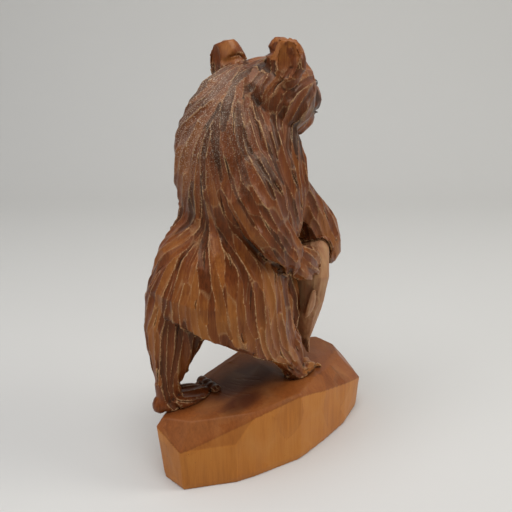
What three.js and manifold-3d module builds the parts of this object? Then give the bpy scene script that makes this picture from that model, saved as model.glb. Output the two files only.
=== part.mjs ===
// A carved wooden bear that strides upright along a knife-faceted plinth and hugs a salmon to its belly.
//
// Millimetres. +Z is up, -Y is the way the bear walks, +X is the bear's left.
// The shapes are drawn about the middle of the stride. At the end the whole figure is moved so that its
// origin is the middle of its outline at the level of the plinth's underside.
//
// The carver worked three blocks: the plinth, the bear and the salmon. Wooden dowels fix the bear's feet
// to the plinth and a peg fixes the salmon to the belly. The eyes are glass beads on wire shanks.
import * as THREE from "three";
import { mergeVertices } from "three/addons/utils/BufferGeometryUtils.js";
import { ConvexGeometry } from "three/addons/geometries/ConvexGeometry.js";
import Module from "manifold-3d";

// Driving dimensions.
const SKULL = [1, 3, 244]; // the middle of the skull
const HEAD_TURN = 10; // degrees that the head looks to the bear's left
const HEAD_TILT = 4; // degrees that the head leans to the bear's left
const CLEARANCE = 0.35; // between pieces that touch
const DOWEL_RADIUS = 3;
const PEG_RADIUS = 2.5;
const EYE_RADIUS = 2.8;
const WIRE_RADIUS = 0.6;

const wasm = await Module();
wasm.setup();
const { Manifold, Mesh: SolidMesh } = wasm;

// ---- solids -------------------------------------------------------------------------------------------

// The manifold solid of a closed three.js geometry.
function solid(geometry) {
  const bare = geometry.clone();
  for (const name of ["normal", "uv"]) bare.deleteAttribute(name);
  const merged = mergeVertices(bare, 1e-4);
  return new Manifold(
    new SolidMesh({
      numProp: 3,
      vertProperties: new Float32Array(merged.getAttribute("position").array),
      triVerts: new Uint32Array(merged.index.array),
    }),
  );
}

// The flat-shaded three.js geometry of a manifold solid.
function geometryOf(made) {
  const mesh = made.getMesh();
  const points = new Float32Array(mesh.numVert * 3);
  for (let i = 0; i < mesh.numVert; i++) {
    points.set(mesh.vertProperties.subarray(i * mesh.numProp, i * mesh.numProp + 3), i * 3);
  }
  const geometry = new THREE.BufferGeometry();
  geometry.setAttribute("position", new THREE.BufferAttribute(points, 3));
  geometry.setIndex(new THREE.BufferAttribute(new Uint32Array(mesh.triVerts), 1));
  const flat = geometry.toNonIndexed();
  flat.computeVertexNormals();
  return flat;
}

const joined = (solids) => solids.reduce((whole, next) => whole.add(next));

// The solid without the small sealed pockets that masses can leave between them.
const filled = (made) => joined(made.decompose().filter((body) => body.volume() > 0));

// A rounded mass of wood: rings swept along a smooth spine, drawn in to a point at both ends.
// Each station is [x, y, z, half width, half depth]. The width lies along side, as far as the spine allows.
// A squareness of 2 makes elliptical rings and more makes them boxier. A low bluntness makes flatter ends.
function mass(stations, options = {}) {
  const { around = 18, along = 10, side = [1, 0, 0] } = options;
  const { bluntness = 0.55, squareness = 2.3, grow = 0 } = options;
  const spine = new THREE.CatmullRomCurve3(
    stations.map(([x, y, z]) => new THREE.Vector3(x, y, z)),
    false,
    "centripetal",
  );
  const sizes = new THREE.CatmullRomCurve3(
    stations.map(([, , , width, depth]) => new THREE.Vector3(width + grow, depth + grow, 0)),
  );
  const sphere = new THREE.SphereGeometry(1, around, along);
  const points = sphere.getAttribute("position");
  const reference = new THREE.Vector3(...side).normalize();
  for (let i = 0; i < points.count; i++) {
    const height = THREE.MathUtils.clamp(points.getY(i), -1, 1);
    const share = (1 - height) / 2;
    const tangent = spine.getTangent(share);
    const across = reference.clone().addScaledVector(tangent, -reference.dot(tangent)).normalize();
    const deep = new THREE.Vector3().crossVectors(tangent, across);
    const ring = Math.hypot(points.getX(i), points.getZ(i));
    const size = sizes.getPoint(share);
    const place = spine.getPoint(share).addScaledVector(tangent, -height * grow);
    if (ring > 1e-6) {
      const [u, v] = [points.getX(i) / ring, points.getZ(i) / ring];
      const box = Math.pow(Math.abs(u) ** squareness + Math.abs(v) ** squareness, 1 / squareness);
      const swell = Math.pow(ring, bluntness) / box;
      place.addScaledVector(across, u * swell * size.x).addScaledVector(deep, v * swell * size.y);
    }
    points.setXYZ(i, place.x, place.y, place.z);
  }
  return solid(sphere);
}

// A rod between two points.
function rod(from, to, radius, sides = 12) {
  const a = new THREE.Vector3(...from);
  const b = new THREE.Vector3(...to);
  const direction = b.clone().sub(a);
  const cylinder = new THREE.CylinderGeometry(radius, radius, direction.length(), sides);
  const turn = new THREE.Quaternion();
  turn.setFromUnitVectors(new THREE.Vector3(0, 1, 0), direction.normalize());
  cylinder.applyQuaternion(turn);
  cylinder.translate(...a.add(b).multiplyScalar(0.5).toArray());
  return solid(cylinder);
}

// ---- plinth -------------------------------------------------------------------------------------------

// The corners that the knife left round the block, anticlockwise from the back end: the place on the
// underside, how far the wall leans out on its way up, and the heights of the shoulder and of the deck's rim.
const PLINTH_CORNERS = [
  { at: [9, 92], lean: 4, shoulder: 41, deck: 46 },
  { at: [-11, 92], lean: 2, shoulder: 30, deck: 46 },
  { at: [-30, 62], lean: 0, shoulder: 29, deck: 47 },
  { at: [-34.5, 49], lean: 0, shoulder: 46, deck: 49 },
  { at: [-43, 13], lean: -1, shoulder: 50, deck: 52 },
  { at: [-41, -14], lean: 0, shoulder: 43, deck: 52 },
  { at: [-37, -43], lean: 0, shoulder: 35, deck: 48 },
  { at: [-28, -69], lean: 2, shoulder: 26, deck: 46 },
  { at: [-4, -84], lean: 0, shoulder: 28, deck: 46 },
  { at: [17, -77], lean: 0, shoulder: 34, deck: 48 },
  { at: [33, -46], lean: 1, shoulder: 38, deck: 52 },
  { at: [41, -2], lean: 0, shoulder: 42, deck: 54 },
  { at: [36, 42], lean: 0, shoulder: 38, deck: 50 },
  { at: [24, 76], lean: 2, shoulder: 35, deck: 47 },
];
const DECK_INSET = 0.85; // from the wall to the deck's rim, for each millimetre that the chamfer rises
const FOOT_INSET = 1; // the small chamfer round the underside
const FOOT_HEIGHT = 4;

function plinthBlock() {
  const points = [];
  for (const { at, lean, shoulder, deck } of PLINTH_CORNERS) {
    const wall = new THREE.Vector2(...at);
    const out = wall.clone().setComponent(1, wall.y * 0.5).normalize();
    const place = (offset, height) => {
      const spot = wall.clone().addScaledVector(out, offset);
      points.push(new THREE.Vector3(spot.x, spot.y, height));
    };
    place(-FOOT_INSET, 0);
    place(0, FOOT_HEIGHT);
    place(lean, shoulder);
    place(lean - DECK_INSET * (deck - shoulder), deck);
  }
  return solid(new ConvexGeometry(points));
}

// ---- bear ---------------------------------------------------------------------------------------------

function trunk() {
  return joined([
    mass(
      [
        [2, 38, 66, 24, 26],
        [3, 40, 94, 36, 38],
        [5, 47, 112, 40, 44],
        [5, 43, 134, 37.5, 42.5],
        [3, 29, 158, 35, 37],
        [2, 23, 180, 36, 40],
        [3, 31, 206, 36, 36],
        [4, 33, 228, 33, 31],
        [5, 29, 244, 27, 25],
        [4, 16, 262, 15, 15],
      ],
      { around: 28, along: 20, squareness: 3, bluntness: 0.45 },
    ),
    // The chest mane spreads over the forearms like an apron.
    mass(
      [
        [2, 8, 236, 18, 12],
        [2, 4, 212, 24, 12],
        [2, -6, 188, 28, 15],
        [1, -21, 168, 27, 17],
        [-3, -35, 150, 23, 19],
        [-9, -42, 134, 19, 17],
        [-10, -44, 122, 14, 13],
      ],
      { around: 20, along: 14, bluntness: 0.3 },
    ),
    // The neck is as thick as the shoulders, and runs down into the chest.
    mass(
      [
        [1, 6, 258, 18, 18],
        [1, 10, 240, 27, 25],
        [1, 14, 222, 29, 26],
        [1, 12, 204, 31, 29],
        [1, 8, 184, 32, 31],
        [1, 0, 166, 30, 30],
        [0, -8, 148, 24, 24],
      ],
      { around: 26, along: 16, squareness: 2.4, bluntness: 0.45 },
    ),
    // The belly, which the fish leans against.
    mass([[3, 10, 158, 25, 24], [2, 12, 126, 27, 27], [0, 8, 96, 27, 30], [0, 8, 62, 20, 24]], {
      bluntness: 0.4,
    }),
    // The stub of a tail.
    mass([[4, 73, 136, 8, 6], [5, 82, 124, 7, 5], [5, 85, 111, 4, 4]], { around: 10, along: 6 }),
  ]);
}

function arms() {
  return joined([
    // The right arm comes down across the flank, and its paw rests against the fish.
    mass(
      [
        [-2, 26, 226, 16, 16],
        [-17, 35, 206, 18, 23],
        [-28, 34, 184, 14, 24],
        [-34, 24, 162, 9, 19],
      ],
      { side: [0.9, 0.3, -0.3] },
    ),
    mass(
      [
        [0, 34, 218, 12, 12],
        [-17, 45, 202, 14, 17],
        [-31, 38, 177, 11, 20],
        [-35, 22, 157, 9, 17],
        [-34, 8, 144, 7, 12],
      ],
      { side: [0.9, 0.3, -0.3] },
    ),
    mass([[-33, 22, 152, 7, 12], [-32, 4, 142, 8, 13], [-27, -12, 135, 7, 11], [-20, -24, 131, 5, 6]], {
      side: [0.8, 0.5, 0],
    }),
    // The left arm reaches round the front.
    mass(
      [
        [12, 34, 220, 12, 13],
        [28, 26, 202, 15, 20],
        [36, 9, 178, 14, 18],
        [37, -12, 156, 12, 14],
        [31, -30, 144, 10, 11],
      ],
      { side: [0.9, -0.2, -0.3] },
    ),
    mass([
      [36, -10, 158, 11, 13],
      [30, -36, 146, 12, 13],
      [15, -52, 139, 12, 12],
      [2, -58, 136, 12, 11],
      [-5, -58, 133, 9, 9],
    ]),
  ]);
}

// Four fingers or toes side by side: the knuckle, the way they reach and the step from one to the next.
function fingersFrom(knuckle, reach, step, size) {
  const fingers = [];
  for (let finger = -1.5; finger <= 1.5; finger++) {
    const along = (share) => knuckle.map((value, axis) => value + step[axis] * finger + reach[axis] * share);
    fingers.push(
      mass([[...along(0), size, size], [...along(0.6), size, size], [...along(1), size * 0.5, size * 0.5]], {
        around: 8,
        along: 6,
        side: step,
      }),
    );
  }
  return joined(fingers);
}

const paw = (knuckle, reach, step) => fingersFrom(knuckle, reach, step, 3.8);
const toes = (knuckle, reach, step) => fingersFrom(knuckle, reach, step, 4);

function leftLeg() {
  return joined([
    mass(
      [
        [15, 42, 164, 19, 23],
        [19, 53, 144, 24, 29],
        [20, 59, 118, 25, 29],
        [20, 69, 96, 20, 22],
        [18, 76, 76, 14, 15],
        [16, 80, 60, 9.5, 10],
        [15, 80, 44, 10, 11],
      ],
      { along: 14 },
    ),
    mass([[17, 92, 50, 6, 6], [16, 80, 50, 10, 9], [14, 64, 48, 12, 8], [12, 48, 47.5, 11, 6.5]], {
      side: [1, -0.15, 0],
    }),
    toes([13, 51, 50], [0.4, -9, -1], [5.2, -0.4, 0]),
  ]);
}

function rightLeg() {
  return joined([
    mass([[-14, 18, 96, 16, 18], [-20, 8, 78, 14, 16], [-22, 0, 62, 9, 10], [-22, -3, 46, 8, 9]], {
      around: 14,
    }),
    mass([[-25, 5, 52, 6, 5], [-22, -4, 54, 9, 8], [-20, -14, 54, 10, 8], [-18, -23, 51, 9, 6]], {
      side: [1, -0.25, 0],
    }),
    toes([-18, -19, 51], [1.4, -7.5, -1.5], [4.4, 1, 0]),
  ]);
}

// The fur of the right thigh and flank ends in a hem that hangs over the right leg.
const HEM = [new THREE.Vector3(-16, 74, 105), new THREE.Vector3(-33, 4, 63)]; // its line on the flank
const HEM_INWARD = new THREE.Vector3(1, 0, 0.1);

function skirt() {
  return mass(
    [
      [2, 30, 180, 30, 28],
      [1, 36, 158, 36, 35],
      [0, 40, 138, 37, 37],
      [-5, 42, 118, 33, 37],
      [-9, 34, 94, 28, 36],
      [-12, 20, 70, 24, 32],
      [-14, 10, 46, 20, 26],
    ],
    { around: 26, along: 16, squareness: 2.8, bluntness: 0.3 },
  );
}

function aboveHem(made) {
  const up = HEM[1].clone().sub(HEM[0]).cross(HEM_INWARD).normalize();
  return made.trimByPlane(up.toArray(), up.dot(HEM[0]));
}

// A point of the head, given from the middle of the skull as if the bear looked straight ahead.
const HEAD_POSE = new THREE.Matrix4()
  .makeRotationZ(THREE.MathUtils.degToRad(HEAD_TURN))
  .multiply(new THREE.Matrix4().makeRotationY(THREE.MathUtils.degToRad(HEAD_TILT)))
  .setPosition(...SKULL);

function onHead([x, y, z, ...sizes]) {
  return [...new THREE.Vector3(x, y, z).applyMatrix4(HEAD_POSE).toArray(), ...sizes];
}

const HEAD_SIDE = new THREE.Vector3().setFromMatrixColumn(HEAD_POSE, 0).toArray();
const headMass = (stations, options = {}) => mass(stations.map(onHead), { side: HEAD_SIDE, ...options });

function head() {
  const pieces = [
    headMass(
      [
        [0, 30, -6, 18, 16],
        [0, 18, -2, 27, 23],
        [0, 0, -1, 30, 25],
        [0, -18, 2, 28, 24],
        [0, -30, -1, 18, 18],
      ],
      { around: 22, along: 12, squareness: 2.5 },
    ),
    // The muzzle, the jaw and the nose.
    headMass([[0, -14, 0, 19, 18], [0, -32, -4, 15.5, 15], [0, -45, -7, 13.5, 12.5], [0, -53, -8, 11, 10]], {
      squareness: 2.6,
      bluntness: 0.4,
    }),
    headMass([[0, -4, -18, 20, 12], [0, -22, -18, 17, 11], [0, -48, -18, 11, 7.5]], {
      around: 14,
      along: 8,
    }),
    headMass([[0, -50, -2, 6, 4], [0, -57, -4, 5.5, 4]], { around: 10, along: 6 }),
  ];
  for (const hand of [-1, 1]) {
    pieces.push(ear(hand));
  }
  const mouth = headMass([[0, -34, -15, 15, 0.8], [0, -50, -14, 14, 0.9], [0, -66, -15, 11, 0.9]], {
    around: 10,
    along: 6,
  });
  return joined(pieces).subtract(mouth);
}

function ear(hand) {
  const shell = headMass(
    [
      [hand * 17, 12, 6, 14, 9],
      [hand * 21, 11, 20, 14, 8],
      [hand * 23.5, 11, 35, 11.5, 5.5],
    ],
    { around: 16, along: 10, bluntness: 0.35, squareness: 2.6 },
  );
  const cup = headMass([[hand * 22, 3, 19, 5, 6], [hand * 26, 3, 26, 7, 6], [hand * 28, 4, 36, 5, 5]], {
    around: 10,
    along: 6,
  });
  const scoop = headMass(
    [
      [hand * 25, 21, 12, 5, 5],
      [hand * 29, 20, 25, 8, 6.5],
      [hand * 29, 19, 38, 7, 5],
    ],
    { around: 12, along: 6 },
  );
  return shell.subtract(cup).subtract(scoop);
}

// ---- salmon -------------------------------------------------------------------------------------------

const SALMON_SPINE = [
  [-8, -29, 60, 3.5, 3],
  [-9, -27, 72, 7, 6],
  [-13, -22, 98, 13.5, 11],
  [-16, -21, 122, 16, 12],
  [-9, -31, 143, 13.5, 11],
  [7, -47, 158, 11, 10],
  [24, -51, 172, 6.5, 6.5],
];

const salmonBody = (grow = 0) => mass(SALMON_SPINE, { around: 18, along: 14, bluntness: 0.6, grow });

// The tail spreads like a fan, and the back fin is a low ridge along the side that faces right.
const salmonFins = (grow = 0) =>
  joined([
    mass([[-9, -28, 78, 4, 3], [-9, -29, 68, 8, 2.6], [-9, -29.5, 58, 12, 2.2]], {
      around: 12,
      along: 6,
      side: [0.8, -0.6, 0],
      bluntness: 0.3,
      grow,
    }),
    mass([[-21, -14, 92, 2, 3], [-27, -12, 104, 2.2, 4.5], [-30, -11, 118, 2.2, 3]], {
      around: 8,
      along: 6,
      grow,
    }),
  ]);

const salmon = (grow = 0) => salmonBody(grow).add(salmonFins(grow));

// ---- eyes, dowels and peg -----------------------------------------------------------------------------

const EYE = [14.5, -33, 5]; // of the left eye, on the head
const WIRE_LENGTH = 9;
const eyeCentre = (hand) => onHead([hand * EYE[0], EYE[1], EYE[2]]);
const eyeBead = (hand, grow = 0) =>
  solid(new THREE.SphereGeometry(EYE_RADIUS + grow, 14, 10)).translate(eyeCentre(hand));

function eyeWire(hand, grow = 0) {
  const start = EYE_RADIUS + CLEARANCE - grow;
  const at = (depth) => onHead([hand * (EYE[0] - depth * 0.6), EYE[1] + depth * 0.8, EYE[2]]);
  return rod(at(start), at(start + WIRE_LENGTH + 2 * grow), WIRE_RADIUS + grow, 8);
}

const DOWELS = {
  left_foot_dowel: { from: [15, 77, 26], to: [15, 77, 68] },
  right_foot_dowel: { from: [-22, -2, 26], to: [-22, -2, 70] },
};
const PEG = { from: [-9, 6, 100], to: [-12.5, -21, 100] };

// A dowel, or with a clearance the hole that takes it.
const dowel = ({ from, to }, grow = 0) =>
  rod([from[0], from[1], from[2] - grow], [to[0], to[1], to[2] + grow], DOWEL_RADIUS + grow);
function peg(grow = 0) {
  const [x0, y0, z0] = PEG.from;
  const [x1, y1, z1] = PEG.to;
  return rod([x0, y0 + grow, z0], [x1, y1 - grow, z1], PEG_RADIUS + grow);
}

// ---- assembly -----------------------------------------------------------------------------------------

const HANDS = { left: 1, right: -1 };
const dowelHoles = joined(Object.values(DOWELS).map((ends) => dowel(ends, CLEARANCE)));
const eyeHoles = joined(
  Object.values(HANDS).flatMap((hand) => [eyeBead(hand, CLEARANCE), eyeWire(hand, CLEARANCE)]),
);

const uncutPlinth = plinthBlock();
const looseBear = joined([
  aboveHem(trunk().add(skirt())),
  arms(),
  paw([-37, 17, 149], [1, -3, -14], [0.6, -6, -1.6]),
  paw([-2, -62, 133], [-5, 2, -11], [4, -1.4, -2.4]),
  leftLeg(),
  rightLeg(),
  head(),
]);
const bear = filled(looseBear)
  .subtract(uncutPlinth.translate([0, 0, CLEARANCE]))
  .subtract(salmon(CLEARANCE))
  .subtract(dowelHoles)
  .subtract(eyeHoles)
  .subtract(peg(CLEARANCE));

const SLOTS = {
  bear_wood: new THREE.MeshStandardMaterial({ color: 0x6b4026, roughness: 0.5, metalness: 0 }),
  plinth_wood: new THREE.MeshStandardMaterial({ color: 0x95602f, roughness: 0.4, metalness: 0 }),
  salmon_wood: new THREE.MeshStandardMaterial({ color: 0x7a5640, roughness: 0.4, metalness: 0 }),
  dowel_wood: new THREE.MeshStandardMaterial({ color: 0xc09a66, roughness: 0.6, metalness: 0 }),
  eye_glass: new THREE.MeshStandardMaterial({ color: 0x120c08, roughness: 0.08, metalness: 0 }),
  eye_wire: new THREE.MeshStandardMaterial({ color: 0x8a8a88, roughness: 0.35, metalness: 1 }),
};

const outline = joined([uncutPlinth, bear, salmon()]).boundingBox();
const middle = outline.min.map((low, axis) => (low + outline.max[axis]) / 2);

const figure = new THREE.Group();
function add(name, made, material) {
  const mesh = new THREE.Mesh(geometryOf(made.translate([-middle[0], -middle[1], 0])), material.clone());
  mesh.name = name;
  figure.add(mesh);
}

add("plinth", uncutPlinth.subtract(dowelHoles), SLOTS.plinth_wood);
add("bear", bear, SLOTS.bear_wood);
add("salmon", salmon().subtract(peg(CLEARANCE)), SLOTS.salmon_wood);
add("salmon_peg", peg(), SLOTS.dowel_wood);
for (const [name, ends] of Object.entries(DOWELS)) add(name, dowel(ends), SLOTS.dowel_wood);
for (const [side, hand] of Object.entries(HANDS)) {
  add(`${side}_eye`, eyeBead(hand), SLOTS.eye_glass);
  add(`${side}_eye_wire`, eyeWire(hand), SLOTS.eye_wire);
}

export default figure;
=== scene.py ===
"""A carved wooden bear that strides along a knife-faceted plinth with a salmon in its arms."""

import functools
import math

import bmesh
import bpy
import numpy as np
from mathutils import Matrix, Vector


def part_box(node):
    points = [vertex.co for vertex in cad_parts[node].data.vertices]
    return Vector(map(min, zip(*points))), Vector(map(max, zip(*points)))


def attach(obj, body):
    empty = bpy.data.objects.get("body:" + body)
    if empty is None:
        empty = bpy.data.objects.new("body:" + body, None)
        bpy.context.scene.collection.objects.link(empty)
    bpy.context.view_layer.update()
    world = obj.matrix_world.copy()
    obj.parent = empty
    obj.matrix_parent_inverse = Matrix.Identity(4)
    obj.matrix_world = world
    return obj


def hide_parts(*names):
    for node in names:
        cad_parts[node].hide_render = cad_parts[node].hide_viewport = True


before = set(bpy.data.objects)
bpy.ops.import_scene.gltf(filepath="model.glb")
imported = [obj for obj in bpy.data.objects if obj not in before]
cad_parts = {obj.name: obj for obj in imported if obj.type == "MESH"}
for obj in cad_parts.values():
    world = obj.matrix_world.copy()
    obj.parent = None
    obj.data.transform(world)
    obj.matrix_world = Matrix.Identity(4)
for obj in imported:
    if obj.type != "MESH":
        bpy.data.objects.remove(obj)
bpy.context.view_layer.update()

bl_info = {
    "name": "Carved bear figurine",
    "version": (1, 0, 0),
    "blender": (4, 5, 0),
    "location": "3D View > Sidebar > Figurine",
    "description": "Cuts the fur, facets and finish of a carved bear and its plinth",
    "category": "Object",
}

MM = 0.001

# The skull: its middle in millimetres, and how far the head turns and leans, in degrees.
SKULL = np.array([-0.9, -3.0, 244.0])
HEAD_TURN = 10
HEAD_LEAN = 4


# ---- small helpers --------------------------------------------------------------------------------


def linear(colour):
    """The linear colour of an sRGB hex string such as "#8a5530"."""
    parts = [int(colour[i : i + 2], 16) / 255 for i in (1, 3, 5)]
    return [c / 12.92 if c <= 0.04045 else ((c + 0.055) / 1.055) ** 2.4 for c in parts] + [1.0]


def tint(colour):
    """The same colour as three numbers, as a colour property or a light takes it."""
    return linear(colour)[:3]


def opaque(colour):
    """A colour property as four numbers."""
    return [*colour, 1.0]


def add_node(tree, kind, inputs=(), stops=(), **settings):
    """Adds a node to a tree, with its settings, its inputs set or linked, and the stops of its ramp.

    The inputs go by name or in order, and a node that is given as an input stands for its first output.
    """
    made = tree.nodes.new("ShaderNode" + kind)
    for name, value in settings.items():
        setattr(made, name, value)
    for name, value in inputs.items() if isinstance(inputs, dict) else enumerate(inputs):
        if isinstance(value, bpy.types.Node):
            value = value.outputs[0]
        if isinstance(value, bpy.types.NodeSocket):
            tree.links.new(value, made.inputs[name])
        else:
            made.inputs[name].default_value = value
    for i, (place, colour) in enumerate(stops):
        ramp = made.color_ramp.elements
        stop = ramp[i] if i < len(ramp) else ramp.new(1.0)
        stop.position, stop.color = place, colour
    return made


# What the lacquer does to the carved woods: a satin sheen, weak and warm because the film is thin and yellow.
LACQUER = {"IOR": 1.5, "Specular IOR Level": 0.3, "Specular Tint": linear("#f2dcc0")}


def either(full):
    return full


def unit(vectors):
    """The vectors, each made one long."""
    return vectors / np.maximum(np.linalg.norm(vectors, axis=-1, keepdims=True), 1e-9)


def smoothstep(values, low, high):
    """0 below low and 1 above high, with a soft slope between."""
    share = np.clip((values - low) / (high - low), 0, 1)
    return share * share * (3 - 2 * share)


def points_of(mesh):
    """The mesh's vertices in millimetres."""
    found = np.empty(len(mesh.vertices) * 3, np.float32)
    mesh.vertices.foreach_get("co", found)
    return found.reshape(-1, 3).astype(float) * 1000


def normals_of(mesh):
    """The mesh's vertex normals."""
    found = np.empty(len(mesh.vertices) * 3, np.float32)
    mesh.vertex_normals.foreach_get("vector", found)
    return found.reshape(-1, 3).astype(float)


def put_points(mesh, points):
    """Moves the mesh's vertices to these places in millimetres."""
    mesh.vertices.foreach_set("co", (points * MM).astype(np.float32).ravel())
    mesh.update()


def keep_attribute(mesh, name, values):
    """Keeps one number for each vertex, for the materials to read."""
    attribute = mesh.attributes.get(name) or mesh.attributes.new(name, "FLOAT", "POINT")
    attribute.data.foreach_set("value", np.asarray(values, np.float32))


def settle(obj):
    """Applies the object's modifiers to its mesh."""
    shown = obj.evaluated_get(bpy.context.evaluated_depsgraph_get())
    mesh = bpy.data.meshes.new_from_object(shown)
    obj.modifiers.clear()
    obj.data = mesh
    mesh.name = obj.name


def edges_of(mesh):
    """The two ends of each edge of the mesh."""
    edges = np.empty(len(mesh.edges) * 2, np.int32)
    mesh.edges.foreach_get("vertices", edges)
    return edges.reshape(-1, 2).T


def among_neighbours(edges, values):
    """The mean of each vertex's neighbours, for values with one or more columns."""
    a, b = edges
    size = len(values)
    count = np.maximum(np.bincount(a, minlength=size) + np.bincount(b, minlength=size), 1)
    columns = [np.bincount(a, column[b], size) + np.bincount(b, column[a], size) for column in values.T]
    return (np.array(columns) / count).T


def softened(mesh, points, rounds, share):
    """The points drawn towards their neighbours, and back again a little so that nothing shrinks."""
    edges = edges_of(mesh)
    for turn in range(rounds * 2):
        pull = (0.6 if turn % 2 == 0 else -0.61) * share
        points = points + (among_neighbours(edges, points) - points) * pull[:, None]
    return points


def crests_and_creases(mesh, grit):
    """1 on the sharp crests of the mesh, and 1 in its creases, for a mesh with faces of this size."""
    edges, points = edges_of(mesh), points_of(mesh)
    proud = ((points - among_neighbours(edges, points)) * normals_of(mesh)).sum(1, keepdims=True) / grit
    proud = (proud * 0.6 + among_neighbours(edges, proud) * 0.4)[:, 0]
    return smoothstep(proud, 0.05, 0.17), smoothstep(-proud, 0.05, 0.2)


def blank_from(node, name, grit, rounds, share=None):
    """A new object with the shape of a CAD node, evenly meshed and softened, ready for the gouge."""
    blank = bpy.data.objects.new(name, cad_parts[node].data.copy())
    blank.data.materials.clear()
    bpy.context.scene.collection.objects.link(blank)
    shape = bmesh.new()
    shape.from_mesh(blank.data)
    bmesh.ops.remove_doubles(shape, verts=shape.verts, dist=1e-6)
    shape.to_mesh(blank.data)
    shape.free()
    remesh = blank.modifiers.new("even_mesh", "REMESH")
    remesh.mode = "VOXEL"
    remesh.voxel_size = grit * MM
    settle(blank)
    points = points_of(blank.data)
    weight = np.ones(len(points)) if share is None else share(points)
    put_points(blank.data, softened(blank.data, points, rounds, weight))
    return blank


def thin_out(obj, most):
    """Collapses the flattest triangles until no more than this many are left."""
    triangles = sum(len(face.vertices) - 2 for face in obj.data.polygons)
    if triangles > most:
        fewer = obj.modifiers.new("fewer_faces", "DECIMATE")
        fewer.ratio = most / triangles
        settle(obj)


def drop_crumbs(obj):
    """Removes the loose crumbs that a cut left beside the piece, and keeps its largest body."""
    a, b = edges_of(obj.data)
    body = np.arange(len(obj.data.vertices))
    while (body[a] != body[b]).any():
        low = np.minimum(body[a], body[b])
        np.minimum.at(body, a, low)
        np.minimum.at(body, b, low)
        body = body[body]
    crumbs = np.flatnonzero(body != np.bincount(body).argmax())
    if len(crumbs):
        shape = bmesh.new()
        shape.from_mesh(obj.data)
        shape.verts.ensure_lookup_table()
        bmesh.ops.delete(shape, geom=[shape.verts[i] for i in crumbs], context="VERTS")
        shape.to_mesh(obj.data)
        shape.free()


def finish_piece(obj, node, material):
    """Shades a finished piece, hangs it under the root and hides the CAD node that it stands for."""
    obj.data.polygons.foreach_set("use_smooth", [True] * len(obj.data.polygons))
    obj.data.materials.clear()
    obj.data.materials.append(material)
    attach(obj, "root")
    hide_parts(node)


# ---- gouge and knife ------------------------------------------------------------------------------


def drawn(dice, points, *ranges):
    """A number for each of the points, drawn from each of the ranges."""
    return [dice.uniform(low, high, len(points)) for low, high in ranges]


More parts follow.
